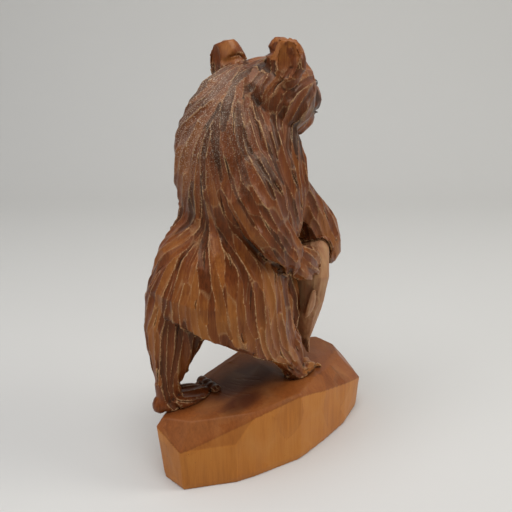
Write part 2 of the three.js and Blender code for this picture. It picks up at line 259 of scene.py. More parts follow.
class Tool:
    """A gouge or knife that cuts into a blank along the lie of the fur or the grain.

    way gives the direction of the cut at points with these normals. kinds gives, for each point, the half
    width, depth and length of a cut there, and how its two ends are shaped.
    """

    CELL = 5.0

    def __init__(self, obj, way, seed):
        self.obj = obj
        self.way = way
        self.dice = np.random.default_rng(seed)
        self.points = points_of(obj.data)
        self.normals = normals_of(obj.data)
        self.low = self.points.min(0) - 1
        cells = np.floor((self.points - self.low) / self.CELL).astype(int)
        self.shape = cells.max(0) + 2
        keys = (cells[:, 0] * self.shape[1] + cells[:, 1]) * self.shape[2] + cells[:, 2]
        self.order = np.argsort(keys, kind="stable")
        found, starts = np.unique(keys[self.order], return_index=True)
        ends = np.append(starts[1:], len(keys))
        self.cells = dict(zip(found.tolist(), zip(starts.tolist(), ends.tolist())))
        count = len(self.points)
        self.deepest = np.zeros(count)
        self.second = np.zeros(count)
        self.share = np.zeros(count)
        self.tone = np.full(count, 0.5)
        self.crevice = np.zeros(count)

    def near(self, line, reach):
        """The vertices in the cells within reach of a line."""
        wide = int(math.ceil(reach / self.CELL))
        spots = set()
        for x, y, z in np.floor((line - self.low) / self.CELL).astype(int).tolist():
            for dx in range(-wide, wide + 1):
                for dy in range(-wide, wide + 1):
                    for dz in range(-wide, wide + 1):
                        spots.add(((x + dx) * int(self.shape[1]) + y + dy) * int(self.shape[2]) + z + dz)
        runs = [self.order[slice(*self.cells[key])] for key in spots if key in self.cells]
        return np.concatenate(runs) if runs else np.empty(0, int)

    def starts(self, tries, spacing):
        """Places for cuts, no closer to one another than spacing: (across, along) for each point."""
        picked = self.dice.choice(len(self.points), min(tries, len(self.points)), replace=False)
        places, facing = self.points[picked], self.normals[picked]
        ways = self.way(places, facing)
        across, along = spacing(places, facing)
        taken, kept = {}, []
        for i, (place, lie) in enumerate(zip(places, ways)):
            if across[i] <= 0:
                continue
            key = tuple((place // 16).astype(int))
            close = [
                j
                for dx in (-1, 0, 1)
                for dy in (-1, 0, 1)
                for dz in (-1, 0, 1)
                for j in taken.get((key[0] + dx, key[1] + dy, key[2] + dz), ())
            ]
            if close:
                step = places[close] - place
                forward = step @ lie
                aside = np.sqrt(np.maximum((step**2).sum(1) - forward**2, 0))
                same = facing[close] @ facing[i] > 0.2
                if (same & ((forward / along[i]) ** 2 + (aside / across[i]) ** 2 < 1)).any():
                    continue
            taken.setdefault(key, []).append(i)
            kept.append(i)
        return places[kept], facing[kept]

    def lines(self, places, facing, lengths, steps, wander):
        """The path of each cut: steps + 1 points on the surface, centred on its place."""
        halves = []
        for turn in (1, -1):
            spot, normal = places.copy(), facing.copy()
            path = []
            drift = self.dice.normal(0, wander, len(places))
            for _ in range(steps // 2):
                lie = self.way(spot, normal)
                ahead = unit(lie + np.cross(normal, lie) * drift[:, None])
                aim = spot + ahead * (turn * lengths / steps)[:, None]
                for i, target in enumerate(aim):
                    hit, place, up, _ = self.obj.closest_point_on_mesh(Vector(target * MM))
                    if hit:
                        spot[i] = np.array(place) * 1000
                        normal[i] = up
                path.append((spot.copy(), normal.copy()))
            halves.append(path)
        backward = halves[1][::-1]
        whole = backward + [(places, facing)] + halves[0]
        return np.stack([p for p, _ in whole], 1), np.stack([n for _, n in whole], 1)

    def cut(self, line, up, half, depth, blunt, tone, vee):
        """Makes one cut. blunt gives how much of the full depth is left at its start and at its end.

        The edge of the tool is round, or a V whose cuts are kept apart from the others.
        """
        indices = self.near(line, half)
        if not len(indices):
            return
        spots = self.points[indices]
        start, step = line[:-1], line[1:] - line[:-1]
        size = np.maximum((step**2).sum(1), 1e-9)
        away = spots[:, None, :] - start[None]
        place = np.clip((away * step[None]).sum(2) / size, 0, 1)
        gap = away - place[..., None] * step[None]
        far = (gap**2).sum(2)
        best = far.argmin(1)
        rows = np.arange(len(indices))
        gap, place = gap[rows, best], place[rows, best]
        normal = up[best]
        facing = (self.normals[indices] * normal).sum(1) > 0.25
        lift = (gap * normal).sum(1)
        forward = unit(step)[best]
        beyond = (gap * forward).sum(1)
        aside = np.maximum((gap**2).sum(1) - lift**2 - beyond**2, 0) + (beyond * 1.8) ** 2
        share = (best + place) / len(step)
        rise = smoothstep(share, -0.02, 0.45) * (1 - blunt[0]) + blunt[0]
        fall = 1 - (1 - blunt[1]) * smoothstep(share, 0.7, 1.02)
        full = depth * rise * fall
        if vee:
            made = full - depth * np.sqrt(aside) / half
        else:
            made = full - depth * aside / half**2
        made = np.where(facing & (np.abs(lift) < 3), made, 0)
        hit = made > 0
        indices, made = indices[hit], made[hit]
        if vee:
            self.crevice[indices] = np.maximum(self.crevice[indices], made)
            return
        deeper = made > self.deepest[indices]
        self.second[indices] = np.where(deeper, self.deepest[indices], np.maximum(self.second[indices], made))
        self.deepest[indices] = np.where(deeper, made, self.deepest[indices])
        self.share[indices[deeper]] = made[deeper] / depth
        self.tone[indices[deeper]] = tone

    def ridges(self, band):
        """1 on the crests where two cuts meet."""
        crest = 1 - np.clip((self.deepest - self.second) / band, 0, 1)
        return crest * smoothstep(self.deepest, 0.05, 0.3)

    def carve(self, tries, spacing, kinds, steps=8, wander=0.08, vee=False):
        """Covers the blank with cuts, and returns how many it made."""
        places, facing = self.starts(tries, spacing)
        half, depth, length, first, last = kinds(places, facing, self.dice)
        lines, ups = self.lines(places, facing, length, steps, wander)
        tones = [0.5] * len(places) if vee else self.dice.random(len(places))
        for i, tone in enumerate(tones):
            self.cut(lines[i], ups[i], half[i], depth[i], (first[i], last[i]), tone, vee)
        return len(tones)


# ---- the lie of the fur ---------------------------------------------------------------------------

# Where the fur lies which way: a place on the bear in millimetres, and the direction of the cuts there.
# The parting runs from between the ears down the back to the tail, and the fur falls away on both sides.
FUR = [
    # crown and nape
    ((0, 0, 268), (0, 1, 0)),
    ((-2, 24, 262), (0, 0.8, -0.6)),
    ((-12, 24, 257), (-0.15, 0.7, -0.7)),
    ((12, 40, 248), (0.7, 0.4, -0.6)),
    ((10, 51, 240), (0.8, 0.2, -0.55)),
    ((-15, 40, 245), (-0.1, 0.4, -0.9)),
    ((-23, 48, 230), (-0.2, 0, -1)),
    ((-33, 28, 236), (-0.3, -0.2, -0.95)),
    # upper back, left of the parting
    ((17, 54, 233), (0.75, 0.1, -0.7)),
    ((30, 44, 218), (0.55, -0.1, -0.8)),
    ((20, 58, 205), (0.45, 0, -0.9)),
    ((5, 60, 215), (0.4, 0, -0.9)),
    # upper back, right of the parting, and over the shoulder
    ((-10, 58, 203), (-0.15, 0, -1)),
    ((-17, 57, 203), (-0.35, -0.1, -0.9)),
    ((-30, 48, 208), (-0.4, -0.35, -0.85)),
    ((-24, 56, 174), (-0.5, -0.3, -0.8)),
    ((-36, 48, 185), (-0.45, -0.5, -0.8)),
    # small of the back and rump
    ((-4, 58, 189), (0, 0, -1)),
    ((10, 62, 183), (0.6, 0.1, -0.8)),
    ((14, 71, 156), (0.65, 0.15, -0.7)),
    ((30, 62, 165), (0.5, 0.1, -0.85)),
    ((-16, 71, 151), (-0.1, 0, -1)),
    ((-2, 82, 124), (0.1, 0.1, -1)),
    ((15, 82, 122), (0.35, 0, -0.95)),
    ((27, 75, 132), (0.45, 0, -0.9)),
    ((20, 80, 100), (0, 0.1, -1)),
    # right flank: long upright flutes that turn forwards at the hem
    ((-30, 62, 140), (0, 0, -1)),
    ((-34, 62, 122), (0, 0, -1)),
    ((-38, 30, 122), (0, 0, -1)),
    ((-38, 22, 96), (0, -0.1, -1)),
    ((-38, 45, 100), (0, -0.2, -1)),
    ((-37, 12, 133), (0, -0.05, -1)),
    ((-35, 3, 76), (0, -0.6, -0.8)),
    ((-36, 24, 80), (0, -0.7, -0.75)),
    ((-34, 42, 90), (0, -0.65, -0.75)),
    ((-25, 65, 102), (-0.3, -0.6, -0.75)),
    # right arm
    ((-40, 48, 173), (-0.35, -0.6, -0.75)),
    ((-43, 28, 181), (-0.2, -0.6, -0.8)),
    ((-45, 22, 162), (-0.1, -0.6, -0.8)),
    ((-46, 22, 149), (0, -0.4, -0.9)),
    ((-40, 0, 142), (0.1, -0.9, -0.3)),
    # mane and chest
    ((-30, 4, 226), (-0.25, -0.3, -0.92)),
    ((-34, 4, 200), (-0.2, -0.35, -0.92)),
    ((-31, -12, 185), (-0.1, -0.45, -0.9)),
    ((-28, -25, 165), (-0.05, -0.5, -0.87)),
    ((-22, -42, 145), (0, -0.45, -0.9)),
    ((0, -20, 215), (0, -0.3, -0.95)),
    ((0, -32, 190), (0, -0.3, -0.95)),
    ((-2, -48, 165), (0, -0.3, -0.95)),
    ((30, 2, 224), (0.25, -0.3, -0.92)),
    ((36, 14, 200), (0.2, -0.35, -0.9)),
    ((22, -14, 190), (0.1, -0.4, -0.9)),
    # left arm
    ((30, 38, 205), (0.35, -0.3, -0.88)),
    ((46, 14, 182), (0.1, -0.6, -0.8)),
    ((46, -8, 162), (0, -0.75, -0.66)),
    ((32, -38, 148), (-0.6, -0.7, -0.3)),
    ((10, -62, 140), (-1, -0.1, -0.2)),
    # left flank and leg
    ((42, 44, 165), (0.1, 0.1, -1)),
    ((44, 50, 140), (0, 0.1, -1)),
    ((42, 60, 116), (0, 0.2, -1)),
    ((37, 66, 95), (-0.1, 0.2, -1)),
    ((28, 72, 76), (0, 0.1, -1)),
    ((20, 82, 62), (0, 0, -1)),
    ((14, 30, 100), (0, 0.2, -1)),
    ((5, 70, 80), (0.1, 0.1, -1)),
    # belly
    ((20, -12, 120), (0.1, 0, -1)),
    ((0, -16, 100), (0, 0, -1)),
    ((-14, -10, 80), (0, 0, -1)),
    # feet
    ((14, 62, 56), (0, -1, -0.1)),
    ((14, 44, 52), (0, -1, -0.2)),
    ((-22, -16, 58), (0.1, -0.95, -0.25)),
    ((-16, -38, 54), (0.2, -0.95, -0.25)),
    # forehead, cheeks, muzzle and chin
    ((0, -24, 262), (0, 0.85, 0.5)),
    ((-27, -10, 244), (0, 0.95, -0.25)),
    ((25, -12, 244), (0, 0.95, -0.25)),
    ((-22, -6, 226), (0, 0.8, -0.6)),
    ((22, -6, 226), (0, 0.8, -0.6)),
    ((4, -42, 246), (0, 0.95, 0.3)),
    ((-10, -42, 236), (0, 1, 0)),
    ((16, -42, 236), (0, 1, 0)),
    ((4, -36, 220), (0, 0.9, -0.3)),
    # ears
    ((-22, 8, 274), (0, 0, 1)),
    ((22, 8, 270), (0, 0, 1)),
]
FUR_PLACES = np.array([place for place, _ in FUR], float)
FUR_WAYS = unit(np.array([way for _, way in FUR], float))
FUR_REACH = 13.0


def lie_of_fur(points, normals):
    """The direction of the fur at these points, along the surface."""
    gap = ((points[:, None, :] - FUR_PLACES[None]) ** 2).sum(2)
    weight = np.exp(-gap / (2 * FUR_REACH**2)) + 1e-6
    ways = weight @ FUR_WAYS / weight.sum(1, keepdims=True)
    ways = ways - normals * (ways * normals).sum(1, keepdims=True)
    return unit(ways + 1e-6)


def on_head(points):
    """The points as seen from the middle of the skull, for a bear that looks straight ahead along -Y."""
    turn, lean = math.radians(HEAD_TURN), math.radians(HEAD_LEAN)
    x, y, z = (points - SKULL).T
    x, y = x * math.cos(turn) + y * math.sin(turn), y * math.cos(turn) - x * math.sin(turn)
    x, z = x * math.cos(lean) - z * math.sin(lean), x * math.sin(lean) + z * math.cos(lean)
    return np.stack([x, y, z], 1)


def face_share(points):
    """1 on the face and cheeks, which are cut with flat knife facets, and 0 on the fur."""
    x, y, z = on_head(points).T
    face = 1 - smoothstep(y + 0.15 * z, -2, 5)
    return face * smoothstep(z, -27, -20) * (np.hypot(x, z) < 45)


def ear_share(points):
    """1 on the ears."""
    x, y, z = on_head(points).T
    return smoothstep(z, 20, 24) * smoothstep(np.abs(x), 9, 13)


def paw_share(points):
    """1 on the paws and feet, which are smoother than the fur."""
    share = np.zeros(len(points))
    for place, radius in (
        ((-39, 8, 142), 11),
        ((-4, -67, 127), 13),
        ((14, 50, 52), 20),
        ((14, 78, 51), 13),
        ((-20, -24, 52), 20),
        ((-25, 4, 52), 12),
    ):
        gap = np.linalg.norm(points - np.array(place), axis=1)
        share = np.maximum(share, 1 - smoothstep(gap, radius * 0.8, radius * 1.1))
    return share


# ---- settings -------------------------------------------------------------------------------------


class FurSettings(bpy.types.PropertyGroup):
    """What the gouge does to the bear."""

    cut_width: bpy.props.FloatProperty(
        name="Cut width", description="Width of a gouge cut in the fur", default=0.007, unit="LENGTH"
    )
    cut_depth: bpy.props.FloatProperty(
        name="Cut depth", description="Depth of a gouge cut in the fur", default=0.0019, unit="LENGTH"
    )
    cut_length: bpy.props.FloatProperty(
        name="Cut length", description="Usual length of a gouge cut", default=0.042, unit="LENGTH"
    )
    seed: bpy.props.IntProperty(name="Seed", description="Which layout of the cuts is made", default=11)
    # The ramp from dark to thin stain also carries the painted shade under the hem and the painted light on
    # the right toes.
    dark_stain: bpy.props.FloatVectorProperty(
        name="Dark stain", description="Stain where it pooled", subtype="COLOR", default=tint("#3a1c0b")
    )
    mid_stain: bpy.props.FloatVectorProperty(
        name="Stain", description="Stain on most of the fur", subtype="COLOR", default=tint("#6f3718")
    )
    light_stain: bpy.props.FloatVectorProperty(
        name="Thin stain", description="Stain on the lightest cuts", subtype="COLOR", default=tint("#9c602c")
    )
    # The worn colour is pale worn wood and also a painted highlight on the crests.
    worn: bpy.props.FloatVectorProperty(
        name="Worn wood", description="Wood on the worn ridges", subtype="COLOR", default=tint("#c09a6c")
    )
    dust: bpy.props.FloatVectorProperty(
        name="Dust", description="Dust on the head and shoulders", subtype="COLOR", default=tint("#84776a")
    )


class PlinthSettings(bpy.types.PropertyGroup):
    """What the knife does to the plinth."""

    facet_width: bpy.props.FloatProperty(
        name="Facet width", description="Width of a knife facet", default=0.03, unit="LENGTH"
    )
    facet_depth: bpy.props.FloatProperty(
        name="Facet depth", description="Hollow of a knife facet", default=0.00035, unit="LENGTH"
    )
    wall: bpy.props.FloatVectorProperty(
        name="Wall", description="Lacquered wood of the walls", subtype="COLOR", default=tint("#ba7430")
    )
    # The deck colour is a darker copy of the walls' wood, laid on the up-facing faces as painted shade.
    deck: bpy.props.FloatVectorProperty(
        name="Deck", description="Stained wood of the deck", subtype="COLOR", default=tint("#8a4c22")
    )


class SalmonSettings(bpy.types.PropertyGroup):
    """The fish that the bear holds."""

    facet_width: bpy.props.FloatProperty(
        name="Facet width", description="Width of a knife facet", default=0.007, unit="LENGTH"
    )
    flank: bpy.props.FloatVectorProperty(
        name="Flank", description="Stained wood of the fish", subtype="COLOR", default=tint("#a2714f")
    )


class StageSettings(bpy.types.PropertyGroup):
    """The floor, the lights and the camera."""

    paper: bpy.props.FloatVectorProperty(
        name="Paper", description="Floor and backdrop", subtype="COLOR", default=tint("#d3d2cd")
    )
    azimuth: bpy.props.FloatProperty(
        name="Azimuth",
        description="Where the camera stands round the figurine",
        default=math.radians(225),
        subtype="ANGLE",
    )
    elevation: bpy.props.FloatProperty(
        name="Elevation", description="How high the camera is", default=math.radians(20), subtype="ANGLE"
    )
    distance: bpy.props.FloatProperty(
        name="Distance", description="From the camera to what it looks at", default=0.47, unit="LENGTH"
    )
    field: bpy.props.FloatProperty(
        name="Field of view", description="How wide the view is", default=math.radians(40), subtype="ANGLE"
    )


# ---- materials ------------------------------------------------------------------------------------


def new_material(name):
    """A material with an empty tree, and the function that adds a node to it."""
    material = bpy.data.materials.new(name)
    material.use_nodes = True
    material.node_tree.nodes.clear()
    return material, functools.partial(add_node, material.node_tree)


def stained_gouge_cut_basswood(fur):
    """Basswood cut with a gouge, stained dark red-brown and lacquered thinly.

    Each cut took the stain a little differently. The lacquer gives a satin sheen, handling has worn the
    ridges to pale wood that also stands as a painted highlight, stain sits in the grooves with painted shade
    in the creases, the right toes get painted light and the hollow under the hem painted shade, and dust lies
    on the head and shoulders.
    """
    material, add = new_material("stained gouge-cut basswood")
    place = add("TexCoord").outputs["Object"]
    tone, ridge, groove, dusty, light = (
        add("Attribute", attribute_name=kept).outputs["Fac"]
        for kept in ("tone", "ridge", "groove", "dusty", "light")
    )
    # Grain shows as upright streaks 1.1 mm wide and 16 mm long, stain takes in blotches 22 mm across, and the
    # flecks of wear and dust are 0.67 mm across.
    upright = add("Mapping", {"Vector": place, "Scale": (1, 1, 1.111 / 15.87)})
    streaks = add("TexNoise", {"Vector": upright, "Scale": 1000 / 1.111, "Detail": 4, "Roughness": 0.6})
    blotches = add("TexNoise", {"Vector": place, "Scale": 1000 / 22.22, "Detail": 2, "Roughness": 0.55})
    flecks = add("TexNoise", {"Vector": place, "Scale": 1000 / 0.6667, "Detail": 2, "Roughness": 0.7})

    # How light the colour came out: the stain's mean over a patch, the cut and the grain, and the light
    # attribute, which holds stain differences over the bear together with painted light on the right toes and
    # painted shade under the hem.
    shade = add("MapRange", (blotches, 0.3, 0.7, 0.3, 0.62))
    for share in (
        add("MapRange", (tone, 0, 1, -0.3, 0.3)),
        add("MapRange", (streaks, 0.3, 0.7, -0.16, 0.16)),
        light,
    ):
        shade = add("Math", (shade, share), operation="ADD")
    stops = ((0.0, fur.dark_stain), (0.45, fur.mid_stain), (1.0, fur.light_stain))
    colour = add("ValToRGB", (shade,), [(at, opaque(stain)) for at, stain in stops])

    # Dust lies on what faces up, thinner where it was wiped.
    facing = add("SeparateXYZ", (add("NewGeometry").outputs["Normal"],)).outputs["Z"]
    film = add("MapRange", (facing, -0.15, 0.8, 0.2, 1.0))
    for share in (
        dusty,
        add("MapRange", (blotches, 0.35, 0.6, 0.5, 1.0)),
        add("MapRange", (flecks, 0.3, 0.6, 0.55, 1.0)),
    ):
        film = add("Math", (film, share), operation="MULTIPLY")
    # The crests get pale worn wood, broken into flecks, which is also a painted highlight on them.
    flaked = add("MapRange", (flecks, 0.35, 0.6, 0.25, 0.9))
    ridge_wear_and_highlight = add("Math", (add("MapRange", (ridge, 0.25, 0.95)), flaked), operation="MULTIPLY")
    chipping = add("MapRange", (dusty, 0.1, 0.4, 0, 0.75))
    chips = add("Math", (add("MapRange", (flecks, 0.58, 0.64)), chipping), operation="MULTIPLY")
    # Over the stain go: pooled stain and painted shade in the grooves, creases, slits and dents, pale worn
    # wood with a painted highlight on the crests, dust, and pale chips.
    for share, over in (
        (add("MapRange", (groove, 0.1, 0.9, 0, 0.75)), linear("#26130a")),
        (ridge_wear_and_highlight, opaque(fur.worn)),
        (film, opaque(fur.dust)),
        (chips, linear("#d3c6b2")),
    ):
        colour = add("Mix", {0: share, 6: colour, 7: over}, data_type="RGBA").outputs[2]

    dulled = add("Math", (film, 0.6), operation="MULTIPLY")
    gloss = add("Math", (add("MapRange", (flecks, 0.3, 0.7, 0.27, 0.42)), dulled), operation="ADD")
    fibres = add("Bump", {"Strength": 0.35, "Distance": 0.25 * MM, "Height": streaks})
    wood = add("BsdfPrincipled", {"Base Color": colour, "Roughness": gloss, "Normal": fibres, **LACQUER})
    add("OutputMaterial", {"Surface": wood})
    return material


def lacquered_knife_cut_basswood(plinth):
    """Basswood sliced flat with a knife, stained orange-brown and lacquered.

    The walls are orange under the lacquer with upright grain. The deck and its chamfers get a darker copy of
    the wood as painted shade, and painted shade darkens the deck round the feet.
    """
    material, add = new_material("lacquered knife-cut basswood")
    place = add("TexCoord").outputs["Object"]
    tone, ridge, upper, painted_deck_shade, scratch = (
        add("Attribute", attribute_name=kept).outputs["Fac"]
        for kept in ("tone", "ridge", "upper", "painted_deck_shade", "scratch")
    )
    # Grain shows as upright streaks 2.4 mm wide and 40 mm long, with finer fibres 0.7 mm wide. The stain's
    # blotches are 36 mm across and the dark specks in the lacquer 1.1 mm.
    upright = add("Mapping", {"Vector": place, "Scale": (1, 1, 2.381 / 39.68)})
    streaks = add("TexNoise", {"Vector": upright, "Scale": 1000 / 2.381, "Detail": 4, "Roughness": 0.6})
    fibres = add("TexNoise", {"Vector": upright, "Scale": 1000 / 0.7143, "Detail": 3, "Roughness": 0.6})
    blotches = add("TexNoise", {"Vector": place, "Scale": 1000 / 35.71, "Detail": 2, "Roughness": 0.55})
    specks = add("TexNoise", {"Vector": place, "Scale": 1000 / 1.111, "Detail": 1, "Roughness": 0.5})

    shade = add("MapRange", (blotches, 0.3, 0.7, 0.38, 0.62))
    for share in (
        add("MapRange", (tone, 0, 1, -0.14, 0.14)),
        add("MapRange", (streaks, 0.3, 0.7, -0.13, 0.13)),
        add("MapRange", (fibres, 0.3, 0.7, -0.07, 0.07)),
    ):
        shade = add("Math", (shade, share), operation="ADD")
    # A lit copy of the wood for the walls, and a darker copy as painted shade for the deck and the chamfers.
    colour, deck = (
        add("ValToRGB", (shade,), [(0.0, linear(dark)), (0.5, opaque(usual)), (1.0, linear(pale))])
        for dark, usual, pale in (("#965622", plinth.wall, "#c6853c"), ("#602e14", plinth.deck, "#a5622c"))
    )
    # Over it go the shaded copy on the up-facing faces, dark specks in the lacquer, painted shade round the
    # feet, pale scratches and lighter facet edges.
    for share, over in (
        (upper, deck),
        (add("MapRange", (specks, 0.76, 0.8, 0, 0.6)), linear("#3b1c0c")),
        (add("MapRange", (painted_deck_shade, 0, 1, 0, 0.75)), linear("#481e0f")),
        (add("MapRange", (scratch, 0.2, 1.0, 0, 0.6)), linear("#b08a68")),
        (add("Math", (ridge, 0.15), operation="MULTIPLY"), linear("#c99a63")),
    ):
        colour = add("Mix", {0: share, 6: colour, 7: over}, data_type="RGBA").outputs[2]

    gloss = add("MapRange", (blotches, 0.3, 0.7, 0.38, 0.5))
    raised = add("Bump", {"Strength": 0.2, "Distance": 0.2 * MM, "Height": fibres})
    wood = add("BsdfPrincipled", {"Base Color": colour, "Roughness": gloss, "Normal": raised, **LACQUER})
    add("OutputMaterial", {"Surface": wood})
    return material


def stained_knife_cut_basswood(salmon):
    """Basswood smoothed with a knife and stained greyish brown: long flat facets with a satin sheen."""
    material, add = new_material("stained knife-cut basswood")
    place = add("TexCoord").outputs["Object"]
    tone, ridge, groove = (
        add("Attribute", attribute_name=kept).outputs["Fac"] for kept in ("tone", "ridge", "groove")
    )
    # Grain shows as upright streaks 1.4 mm wide and 18 mm long, stain takes in blotches 17 mm across, and the
    # lacquer is uneven in flecks 0.8 mm across.
    upright = add("Mapping", {"Vector": place, "Scale": (1, 1, 1.4286 / 17.86)})
    streaks = add("TexNoise", {"Vector": upright, "Scale": 1000 / 1.4286, "Detail": 4, "Roughness": 0.6})
    blotches = add("TexNoise", {"Vector": place, "Scale": 1000 / 16.667, "Detail": 2, "Roughness": 0.55})
    flecks = add("TexNoise", {"Vector": place, "Scale": 1000 / 0.7692, "Detail": 2, "Roughness": 0.7})

    shade = add("MapRange", (blotches, 0.3, 0.7, 0.3, 0.7))
    for share in (
        add("MapRange", (streaks, 0.3, 0.7, -0.2, 0.2)),
        add("MapRange", (tone, 0, 1, -0.12, 0.12)),
    ):
        shade = add("Math", (shade, share), operation="ADD")
    stops = [(0.0, linear("#6b462c")), (0.5, opaque(salmon.flank)), (1.0, linear("#b08560"))]
    colour = add("ValToRGB", (shade,), stops)
    for share, over in (
        (add("MapRange", (ridge, 0.3, 1, 0, 0.5)), linear("#bb9468")),
        (add("MapRange", (groove, 0.1, 0.8, 0, 0.9)), linear("#1c0f09")),
    ):
        colour = add("Mix", {0: share, 6: colour, 7: over}, data_type="RGBA").outputs[2]

    gloss = add("MapRange", (flecks, 0.3, 0.7, 0.36, 0.5))
    raised = add("Bump", {"Strength": 0.25, "Distance": 0.2 * MM, "Height": streaks})
    wood = add("BsdfPrincipled", {"Base Color": colour, "Roughness": gloss, "Normal": raised, **LACQUER})
    add("OutputMaterial", {"Surface": wood})
    return material


def turned_beech():
    """Turned beech dowel: pale, with short dark ray flecks along the grain and a dull, bare surface."""
    material, add = new_material("turned beech")
    place = add("TexCoord").outputs["Object"]
    # The rays are 0.56 mm wide and 3.7 mm long, and the rings 2.9 mm apart.
    upright = add("Mapping", {"Vector": place, "Scale": (1, 1, 0.5556 / 3.704)})
    rays = add("TexNoise", {"Vector": upright, "Scale": 1000 / 0.5556, "Detail": 3, "Roughness": 0.6})
    rings = add("TexNoise", {"Vector": upright, "Scale": 1000 / 2.857, "Detail": 2, "Roughness": 0.55})
    stops = [(0.0, linear("#a9804f")), (1.0, linear("#cfac7b"))]
    plain = add("ValToRGB", (add("MapRange", (rings, 0.3, 0.7)),), stops)
    share = add("MapRange", (rays, 0.56, 0.68, 0, 0.6))
    colour = add("Mix", {0: share, 6: plain, 7: linear("#7d5530")}, data_type="RGBA").outputs[2]
    gloss = add("MapRange", (rays, 0.3, 0.7, 0.5, 0.65))
    raised = add("Bump", {"Strength": 0.3, "Distance": 0.1 * MM, "Height": rays})
    wood = add("BsdfPrincipled", {"Base Color": colour, "Roughness": gloss, "Normal": raised})
    add("OutputMaterial", {"Surface": wood})
    return material


def pressed_brown_glass():
    """A pressed glass bead, so dark a brown that only its edge shows colour, with a fire-polished gloss."""
    material, add = new_material("pressed brown glass")
    place = add("TexCoord").outputs["Object"]
    # The haze of fine wear is 1.4 mm across.
    haze = add("TexNoise", {"Vector": place, "Scale": 1000 / 1.4286, "Detail": 2, "Roughness": 0.55})
    edge = add("LayerWeight", {"Blend": 0.3}).outputs["Facing"]
    colour = linear("#0c0704")
    for share, over in (
        (add("MapRange", (haze, 0.3, 0.7)), linear("#1c0f07")),
        (add("MapRange", (edge, 0.4, 1.0, 0, 0.35)), linear("#4a2a12")),
    ):
        colour = add("Mix", {0: share, 6: colour, 7: over}, data_type="RGBA").outputs[2]
    gloss = add("MapRange", (haze, 0.3, 0.7, 0.04, 0.12))
    coat = {"IOR": 1.52, "Coat Weight": 0.5, "Coat Roughness": 0.05}
    glass = add("BsdfPrincipled", {"Base Color": colour, "Roughness": gloss, **coat})
    add("OutputMaterial", {"Surface": glass})
    return material


def drawn_steel():
    """Drawn steel wire: grey, with fine scratches along it from the die."""
    material, add = new_material("drawn steel")
    place = add("TexCoord").outputs["Object"]
    # The scratches are 0.25 mm wide and 2.5 mm long, coarser than real ones so that they show.
    drawn = add("Mapping", {"Vector": place, "Scale": (1, 0.25 / 2.5, 1)})
    lines = add("TexNoise", {"Vector": drawn, "Scale": 1000 / 0.25, "Detail": 2, "Roughness": 0.55})
    share = add("MapRange", (lines, 0.3, 0.7))
    greys = {6: linear("#7f7e7b"), 7: linear("#a3a19d")}
    colour = add("Mix", {0: share, **greys}, data_type="RGBA").outputs[2]
    gloss = add("MapRange", (lines, 0.3, 0.7, 0.25, 0.42))
    steel = add("BsdfPrincipled", {"Base Color": colour, "Roughness": gloss, "Metallic": 1.0})
    add("OutputMaterial", {"Surface": steel})
    return material


def matt_backdrop_paper(stage):
    """Uncoated paper: pale, even and without a sheen, with fibres too fine to show."""
    material, add = new_material("matt backdrop paper")
    paper = {"Base Color": opaque(stage.paper), "Roughness": 0.85, "Specular IOR Level": 0.2}
    add("OutputMaterial", {"Surface": add("BsdfPrincipled", paper)})
    return material


# ---- operators ------------------------------------------------------------------------------------


